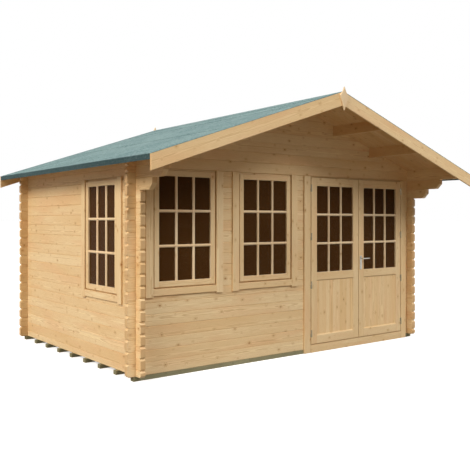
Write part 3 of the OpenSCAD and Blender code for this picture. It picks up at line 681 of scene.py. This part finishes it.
def join_logs(tongues, node, along, centre, base):
    """The logs' tongues, one along the middle of each joint, which keep the daylight out."""
    low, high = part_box(node)
    run = "XY".index(along)
    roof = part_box("ridge_purlin")[1].z
    front = middle_of("front_wall_low_logs", 1)
    half = Vector((TONGUE_T / 2,) * 3)
    for k in range(math.ceil((low.z - base) / LOG_HEIGHT), int((high.z - base) / LOG_HEIGHT) + 1):
        z = base + k * LOG_HEIGHT
        reach = (roof - z) / SLOPE - TONGUE_END if node.endswith("gable_logs") else high[run]
        start = max(low[run], -reach if run == 0 else front) + TONGUE_END
        end = min(high[run], reach) - TONGUE_END
        if min(z - low.z, high.z - z) < TONGUE_T or end - start < TONGUE_END:
            continue
        a = Vector((centre, centre, z))
        b = a.copy()
        a[run], b[run] = start, end
        tongues.beam(a - half, b + half, along.lower(), 0)


# ---- Roof ----
def build_roof():
    """Boards, felt, bargeboards and diamonds over both slopes."""
    # The roof boards, seen only from below, take the darker copy of spruce, which paints shade on
    # them
    deck_wood = spruce("spruce_roof_boards", grain_of_boards, SHADE_PAINTED_SPRUCE)
    trim_wood = spruce("spruce_bargeboards", grain_of_boards, BRIGHT, figure=0.5)
    felt = mineral_felt("mineral_felt", "#849D9C", "#3B5D62", 9 * MM)
    # The turned-down edge is the same felt in darker shades: painted shade on its face
    painted_shade_edge_felt = mineral_felt("mineral_felt_edge", "#4C6264", "#263A3E", 6 * MM)
    zinc = steel("galvanised_nails", "#7E8684", "#5E6664", (90.0, 90.0, 90.0), 0.55)
    low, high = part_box("right_roof_boards")
    top = high.z - DECK_THICK * PLUMB

    def plane(x, lift):
        """Height of the roof at a place, lift above the underside of its boards."""
        return top - abs(x) * SLOPE + lift * PLUMB

    for side, name in ((-1, "left"), (1, "right")):
        lay_deck(name, side, low, high, plane, deck_wood)
        lay_felt(name, side, low, high, plane, felt, painted_shade_edge_felt, zinc)
    cap_ridge(low, high, plane, felt)
    for name in ("front", "back"):
        fix_bargeboards(name, trim_wood, felt)
    fix_finials(spruce("spruce_diamonds", grain_of_boards, PALER_SPRUCE))


def lay_deck(name, side, low, high, plane, wood):
    """Tongued boards that run from the ridge to the eave, with V joints below."""
    count = round((high.y - low.y) / DECK_COVER)
    pitch = (high.y - low.y) / count
    deck = Joinery(name + "_deck_boards")
    down = Vector((side, 0, -SLOPE)).normalized()
    ends = [(low.x, 0), (high.x, 0), (high.x, DECK_THICK), (low.x, DECK_THICK)]
    section = [(side * x, plane(x, lift)) for x, lift in ends]
    for i in range(count):
        deck.length(section, low.y + i * pitch, pitch - HAIR, down, (0, 1, 0), BOARD_ARRIS, 1)
    deck.build(wood, "spruce_boards", replaces=[name + "_roof_boards"])


def lay_felt(name, side, low, high, plane, felt, painted_shade_edge_felt, zinc):
    """Strips of felt from the eave up, each lapped over the one below it, and an edge strip
    that turns down over the ends of the boards and is nailed to them."""
    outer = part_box(name + "_roof_felt")[0 if side < 0 else 1].x * side - NAIL_H
    eave = high.x
    sheets = Joinery(name + "_felt_sheets")
    run = high.y - low.y
    strips = math.ceil((eave * PLUMB - FELT_LAP) / (FELT_ROLL - FELT_LAP))

    def add_strip(lower, upper, lap):
        """One strip between two distances from the ridge, lap of it raised on the last."""
        line = [(lower, 0), (upper, 0)]
        if lap:
            line[:1] = [(lower, FELT_THICK), (lower - lap, FELT_THICK),
                        (lower - lap - FELT_STEP, 0)]
        ends = [(x, DECK_THICK + lift) for x, lift in line]
        ends += [(x, lift + FELT_THICK) for x, lift in reversed(ends)]
        section = [(side * x, plane(x, lift)) for x, lift in ends]
        sheets.length(section, low.y, run, (0, 1, 0), (side, 0, 0))

    reach = FELT_ROLL / PLUMB
    cover = (FELT_ROLL - FELT_LAP) / PLUMB
    for i in range(strips):
        lower = eave - FELT_BEND - i * cover
        upper = max(lower - reach, low.x)
        add_strip(lower, upper, FELT_LAP / PLUMB if i else 0)
    sheets.build(felt, "mineral_felt", replaces=[name + "_roof_felt"])

    # The edge strip: lapped over the sheets, bent round the boards' ends, then straight down
    drop = Joinery(name + "_felt_edge")
    cover_lift = DECK_THICK + FELT_THICK
    centre = outer - FELT_BEND
    centre_z = plane(centre, cover_lift) - FELT_BEND * PLUMB
    foot = plane(outer, cover_lift) - FELT_DROP
    inner = outer - FELT_THICK
    lap_x = eave - 2 * FELT_BEND
    line = [(lap_x, plane(lap_x, cover_lift) + HAIR)]
    for i in range(5):
        t = ROOF_PITCH + (math.pi / 2 - ROOF_PITCH) * i / 4
        line.append((centre + FELT_BEND * math.sin(t), centre_z + FELT_BEND * math.cos(t)))
    line += [(outer, foot), (inner, foot), (inner, plane(inner, DECK_THICK)),
             (lap_x, plane(lap_x, cover_lift) - MM)]
    drop.length([(side * x, z) for x, z in line], low.y, run, (0, 1, 0), UP)
    # Its darker copy of the felt is painted shade
    drop.build(painted_shade_edge_felt, "mineral_felt")

    nails = Metalwork(name + "_felt_nails")
    count = round(run / NAIL_PITCH)
    for i in range(count):
        spot = (side * outer, low.y + (i + 0.5) * run / count, foot + FELT_DROP * 0.4)
        nails.turned(spot, (side, 0, 0), (0, 1, 0), NAIL_HEAD, 10)
    nails.build(zinc, "zinc_plated_steel")


def cap_ridge(low, high, plane, felt):
    """One strip of felt folded over the ridge."""
    cap = Joinery("ridge_felt_cap")
    lift = DECK_THICK + FELT_THICK
    under = [(x, plane(x, lift)) for x in (-RIDGE_CAP, 0, RIDGE_CAP)]
    over = [(x, plane(x, lift + FELT_THICK))
            for x in (RIDGE_CAP, RIDGE_FLAT, -RIDGE_FLAT, -RIDGE_CAP)]
    cap.length(under + over, low.y, high.y - low.y, (0, 1, 0), ACROSS)
    cap.build(felt, "mineral_felt")


def fix_bargeboards(name, wood, felt):
    """A pair of planed boards, mitred at the tip of the gable. A strip of felt covers their
    tops and laps the roof."""
    node = name + "_bargeboards"
    low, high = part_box(node)
    boards = Joinery(name + "_verge_boards")
    strips = Joinery(name + "_verge_felt")
    face, back, out = (low.y, high.y, -1) if name == "front" else (high.y, low.y, 1)
    for side in (-1, 1):
        down_slope = Vector((side, 0, -SLOPE))
        for store, start, top, deep, ys, across, arris in (
            (boards, HAIR, VERGE_FELT, BARGE_WIDE, (face, back), (side * SLOPE, 0, 1), 3 * MM),
            (strips, 0, 0, VERGE_FELT, (face, back - out * VERGE_LAP), (0, 1, 0), 0),
        ):
            ends = [(start, top), (high.x, top), (high.x, deep), (start, deep)]
            section = [(side * x, high.z - x * SLOPE - down * PLUMB) for x, down in ends]
            store.length(section, min(ys), max(ys) - min(ys), down_slope, across, arris)
    boards.build(wood, "planed_spruce", replaces=[node])
    strips.build(felt, "mineral_felt")


def fix_finials(wood):
    """Diamond boards over the bargeboards' joints: a long point below, a short one above."""
    low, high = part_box("finials")
    tall, half = high.z - low.z, high.x
    shape = [(0, 1), (0.3, 0.8), (1, 0.38), (0.36, 0.2), (0, 0)]
    shape += [(-x, z) for x, z in reversed(shape[1:-1])]
    diamonds = Joinery("gable_diamonds")
    for y in (low.y, high.y - DIAMOND_T):
        section = [(x * half, high.z - z * tall) for x, z in shape]
        diamonds.length(section, y, DIAMOND_T, UP, ACROSS, BOARD_ARRIS)
    diamonds.build(wood, "planed_spruce", replaces=["finials"])


# ---- Floor ----
def build_floor():
    """The floor boards, and the bearers under them."""
    # The floor boards take the darker copy of spruce, which paints shade on them
    boards = spruce("spruce_floor_boards", grain_of_boards, SHADE_PAINTED_SPRUCE)
    treated = spruce("treated_spruce", grain_of_boards, TREATED, figure=0.5, rough=0.75)
    low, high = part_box("floor_boards")
    floor = Joinery("floor_deck")
    count = round((high.x - low.x) / FLOOR_COVER)
    pitch = (high.x - low.x) / count
    for i in range(count):
        x = low.x + i * pitch
        floor.beam((x, low.y, low.z), (x + pitch - HAIR, high.y, high.z), "y", MM, 1)
    floor.build(boards, "spruce_boards", replaces=["floor_boards"])

    low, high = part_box("floor_bearers")
    bearers = Joinery("bearer_beams")
    pitch = (high.y - low.y - BEARER_WIDE) / (BEARER_COUNT - 1)
    for i in range(BEARER_COUNT):
        y = low.y + i * pitch
        ends = [low.x, BEARER_JOINT_X, high.x] if i == 0 else [low.x, high.x]
        for a, b in zip(ends, ends[1:]):
            gap = BEARER_GAP if b < high.x else 0
            bearers.beam((a, y, low.z), (b - gap, y + BEARER_WIDE, high.z), "x", 3 * MM)
    bearers.build(treated, "treated_spruce", replaces=["floor_bearers"])


# ---- Windows ----
def box_in(node, wall):
    """A node's box along the wall, into it and up."""
    a, b = (wall.transposed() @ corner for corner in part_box(node))
    return Vector(map(min, a, b)), Vector(map(max, a, b))


def glass_span(wall):
    """Depth of the windows' glass in a wall: its outer and inner faces."""
    low, _ = box_in("window_glass", wall)
    return low.y, low.y + PANE_T


def build_window(name, wall, wood, bar_wood):
    """Linings through the wall, trims outside and inside, a sash and its glazing bars."""
    low, high = box_in(name + "_sash", wall)
    frame_low, frame_high = box_in(name + "_frame", wall)
    face = frame_low.y + TRIM_T
    inside = frame_high.y - INNER_TRIM
    middle = (low.x + high.x) / 2
    half = (high.x - low.x) / 2

    sash = Joinery(name + "_casement", wall)
    a, b = low.x + SASH_RAIL, high.x - SASH_RAIL
    for x in (low.x, b):
        sash.beam((x, low.y, low.z), (x + SASH_RAIL, high.y, high.z), "z")
    for z in (low.z, high.z - SASH_RAIL):
        sash.beam((a, low.y, z), (b, high.y, z + SASH_RAIL), "x")
    sash.build(wood, "planed_spruce", replaces=[name + "_sash"])

    bars = Joinery(name + "_bars", wall)
    near, far = glass_span(wall)
    span, height = (a, b), (low.z + SASH_RAIL, high.z - SASH_RAIL)
    bars.lattice(span, height, 3, 3, low.y + BAR_BACK, near, 1)
    bars.lattice(span, height, 3, 3, high.y - BAR_BACK, far, -1)
    bars.build(bar_wood, "planed_spruce")

    out = half + SASH_PLAY + LINING_SIDE
    clear = half + SASH_PLAY
    foot = low.z - SASH_PLAY - LINING_SILL
    top = frame_high.z
    sill = foot + LINING_SILL
    head = top - LINING_HEAD
    trim_in = frame_high.x - middle - TRIM_WIDE
    under = frame_low.z + TRIM_TAIL
    groove = low.z - (trim_in - half)
    surround = Joinery(name + "_surround", wall)
    surround.assemble(middle, (
        (clear, trim_in, face + REBATE, inside, foot, top, 1),
        (trim_in, out, face, inside, foot, top, 1),
        (clear - STOP, clear + MM, high.y + HAIR, inside, sill, head, 1),
        (trim_in, trim_in + TRIM_WIDE, frame_low.y, face, frame_low.z, top, 3),
        (clear, clear + TRIM_WIDE, inside, frame_high.y, frame_low.z, top, 3),
    ), (
        (clear, face, inside, foot, groove, 1),
        (clear, face + REBATE, inside, groove, sill, 1),
        (clear, face + REBATE, inside, head, top, 1),
        (clear - STOP, high.y + HAIR, inside, sill - MM, sill + STOP, 1),
        (clear - STOP, high.y + HAIR, inside, head - STOP, head + MM, 1),
        (trim_in, frame_low.y, face, under, groove, 3),
        (clear, inside, frame_high.y, under, sill - SASH_PLAY, 3),
    ))
    surround.build(wood, "planed_spruce", replaces=[name + "_frame"])


# ---- Door ----
def build_door_frame(wood):
    """Boards outside and inside, linings, stops, a head and a sill."""
    low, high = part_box("door_frame")
    leaf_low, leaf_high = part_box("left_door_leaf")
    middle = (leaf_low.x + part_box("right_door_leaf")[1].x) / 2
    clear = middle - leaf_low.x + LEAF_GAP
    face, inside = low.y + TRIM_T, high.y - INNER_TRIM
    floor_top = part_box("floor_boards")[1].z
    bearer_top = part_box("floor_bearers")[1].z
    sill, head = leaf_low.z - LEAF_GAP, leaf_high.z + LEAF_GAP
    stop_y = leaf_high.y + LEAF_GAP
    surround = Joinery("door_surround")
    surround.assemble(middle, (
        (clear, clear + DOOR_LINING, face, inside, bearer_top, head, 1),
        (clear - STOP, clear + MM, stop_y, inside, sill, head, 1),
        (clear + TRIM_BACK, clear + DOOR_TRIM, low.y, face - HAIR, low.z, high.z, 4),
        (clear, clear + DOOR_TRIM, inside, high.y, floor_top, high.z, 3),
    ), (
        (clear + TRIM_BACK, low.y, face, head + HEAD_REBATE, high.z, 1),
        (clear, face, inside, head, high.z, 1),
        (clear, stop_y, inside, head - STOP, head + MM, 1),
        (clear + TRIM_BACK, low.y, face - HAIR, bearer_top, sill - SILL_DROP, 2),
        (clear, face, inside, bearer_top, sill, 2),
        (clear, low.y, face - HAIR, low.z, bearer_top, 1),
    ))
    surround.build(wood, "planed_spruce", replaces=["door_frame"])


def build_leaf(side, wood, panel_wood, bar_wood):
    """A leaf: stiles and rails, a glued-up panel with a moulding, and glazing bars."""
    node, body = side + "_door_leaf", side + "_door"
    low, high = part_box(node)
    panel_low, panel_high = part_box(side + "_door_panel")
    glass_low, glass_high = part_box(side + "_door_glass")
    a, b = low.x + STILE, high.x - STILE
    panel_z = panel_low.z + GROOVE, panel_high.z - GROOVE
    pane_z = glass_low.z + GROOVE, glass_high.z - GROOVE

    timber = Joinery(side + "_leaf_timbers")
    for x in (low.x, b):
        timber.beam((x, low.y, low.z), (x + STILE, high.y, high.z), "z")
    for z0, z1 in ((low.z, panel_z[0]), (panel_z[1], pane_z[0]), (pane_z[1], high.z)):
        timber.beam((a, low.y, z0), (b, high.y, z1), "x")
    if side == "left":
        timber.beam((high.x - MM, low.y + BEAD_BACK, low.z + MM),
                    (high.x + MEETING_LIP, high.y - MEETING_LIP, high.z - MM), "z", MM)
    timber.build(wood, "planed_spruce", body, [node])

    panel = Joinery(side + "_leaf_panel")
    count = round((panel_high.x - panel_low.x) / LAMELLA)
    pitch = (panel_high.x - panel_low.x) / count
    for i in range(count):
        x = panel_low.x + i * pitch
        panel.beam((x, panel_low.y, panel_low.z), (x + pitch, panel_high.y, panel_high.z),
                   "z", HAIR, 1)
    panel.build(panel_wood, "planed_spruce", body, [side + "_door_panel"])

    beads = Joinery(side + "_leaf_beads")
    for outer, inner in ((low.y + BEAD_BACK, panel_low.y), (high.y - BEAD_BACK, panel_high.y)):
        hollow = [(PANEL_BEAD * across, outer + (inner - outer) * deep)
                  for across, deep in COVE]
        beads.ring((a, b), panel_z, hollow + [(0, inner)])
    beads.build(wood, "planed_spruce", body)

    bars = Joinery(side + "_leaf_bars")
    bars.lattice((a, b), pane_z, 3, 3, low.y + BAR_BACK, glass_low.y, 1)
    bars.lattice((a, b), pane_z, 3, 3, high.y - BAR_BACK, glass_high.y, -1)
    bars.build(bar_wood, "planed_spruce", body)


def dress_hinges(side, metal):
    """Screws in the hinges' tabs and domed caps on their barrels."""
    low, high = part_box(side + "_door_leaf")
    inward = 1 if side == "left" else -1
    x = low.x - LEAF_GAP / 2 if side == "left" else high.x + LEAF_GAP / 2
    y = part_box(side + "_door_hinges")[0].y + HINGE_R
    tab_y = y + HINGE_R - HINGE_TAB
    pitch = (high.z - low.z - 2 * HINGE_INSET) / (HINGES - 1)
    for half, name, body in ((1, "_leaf_hinge_screws", side + "_door"),
                             (-1, "_frame_hinge_screws", "cabin")):
        screws = Metalwork(side + name)
        for i in range(HINGES):
            z = low.z + HINGE_INSET + i * pitch
            for share in (0.25, 0.75):
                spot = (x + half * inward * SCREW_X, tab_y, z + half * share * HINGE_HALF)
                screws.turned(spot, (0, -1, 0), ACROSS, SCREW_HEAD, 10)
            screws.turned((x, y, z + half * HINGE_HALF), (0, 0, half), ACROSS, BARREL_CAP)
        screws.build(metal, "zinc_plated_steel", body)


def handle_path(x, leaf, z, start, away):
    """Sections of a handle whose spindle is at x and z: collar, neck, bend and grip. away
    points out of the leaf, and start is the plate's height over the leaf's face."""
    rows = [(start + rise * MM, 0, r, r, 0, 0) for rise, r in NECK]
    for k in range(6):
        t = math.pi / 2 * k / 5
        rows.append((LEVER_REACH - NECK_BEND * (1 - math.sin(t)), NECK_BEND * (1 - math.cos(t)),
                     6.2 - 0.14 * k, 6.4 + 0.32 * k, t, 0))
    rows += [(LEVER_REACH - back * MM, along * MM, a, b, math.pi / 2, sag * MM)
             for along, a, b, sag, back in GRIP]
    path = []
    for reach, along, a, b, turn, sag in rows:
        side = ACROSS * math.cos(turn) - away * math.sin(turn)
        centre = Vector((x + along, leaf, z - sag)) + away * reach
        path.append((centre, side * a * MM, away.cross(ACROSS) * b * MM))
    return path


def fit_handles(metal, dark):
    """Plates with rounded corners, their screws and key discs, and the two grips."""
    low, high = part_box("door_handle_plates")
    leaf_low, leaf_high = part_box("right_door_leaf")
    x, z = middle_of("door_handle_plates", 0), middle_of("door_lever", 2)
    half = (high.x - low.x) / 2
    plates = Joinery("handle_plates")
    fittings = Metalwork("handle_screws")
    slots = Metalwork("key_slots")
    grips = Metalwork("lever_grips")
    for out, face, leaf in ((-1, low.y, leaf_low.y), (1, high.y, leaf_high.y)):
        away = Vector((0, out, 0))
        outline = []
        for i, (side, end) in enumerate(((1, 1), (-1, 1), (-1, -1), (1, -1))):
            corner = Vector((x + side * (half - PLATE_CORNER), face - out * PLATE_T,
                             (high.z if end > 0 else low.z) - end * PLATE_CORNER))
            for k in range(5):
                t = math.pi / 2 * (i + k / 4)
                outline.append(corner + Vector((math.cos(t), 0, math.sin(t))) * PLATE_CORNER)
        plates.board(outline, away * PLATE_T, UP, ACROSS, 2 * MM, 3)
        for height in (low.z + PLATE_INSET, high.z - PLATE_INSET):
            fittings.turned((x, face, height), away, ACROSS, PLATE_SCREW)
        key = Vector((x, face, z - KEY_DROP))
        fittings.turned(key, away, ACROSS, KEY_DISC, 20)
        # The key slot is a thin dark sliver on the disc: painted shade in place of a hole
        slots.swept([(key + away * rise, ACROSS * 0.9 * MM, away.cross(ACROSS) * 4 * MM)
                     for rise in (MM, 2 * MM)], 8)
        grips.swept(handle_path(x, leaf, z, abs(face - leaf) + HAIR, away), 20)
    plates.build(metal, "satin_steel", "right_door", ["door_handle_plates"])
    fittings.build(metal, "satin_steel", "right_door")
    slots.build(dark, "satin_steel", "right_door")
    grips.build(metal, "satin_steel", "lever", ["door_lever"])


# ---- Put the cabin together ----
place_camera()
light_the_studio()
lay_floor()
finish_logs()
build_roof()
build_floor()

planed = spruce("planed_spruce", grain_of_boards, PLANED)
paler_spruce = spruce("fresh_spruce_bars", grain_of_boards, PALER_SPRUCE)
glued = spruce("glued_spruce_panel", grain_of_boards, BRIGHT, figure=0.55, vary=0.9, gap=0.3)
glass = window_glass()
# Zinc plating is a dull yellowish grey, satin steel shines softly across its brushed lines, and
# the slots for the keys are a dark sliver of painted shade in place of the hole
hinge_steel = steel("zinc_plated_hinges", "#B0A68E", "#847A62", (60.0, 60.0, 900.0), 0.45)
satin_steel = steel("satin_stainless_steel", "#B2B0AA", "#8E8C86", (40.0, 800.0, 800.0), 0.26)
painted_shade_slot_steel = steel("painted_keyhole_shade", "#3A3836", "#2A2826", (200.0, 200.0, 200.0), 0.6)

for window, wall in (("front_window_1", FRONT_WALL), ("front_window_2", FRONT_WALL),
                     ("side_window", LEFT_WALL)):
    build_window(window, wall, planed, paler_spruce)
build_door_frame(planed)
for side in ("left", "right"):
    build_leaf(side, planed, glued, paler_spruce)
    paint(side + "_door_glass", glass)
    paint(side + "_door_hinges", hinge_steel)
    dress_hinges(side, hinge_steel)
paint("window_glass", glass)
paint("door_frame_hinges", hinge_steel)
fit_handles(satin_steel, painted_shade_slot_steel)
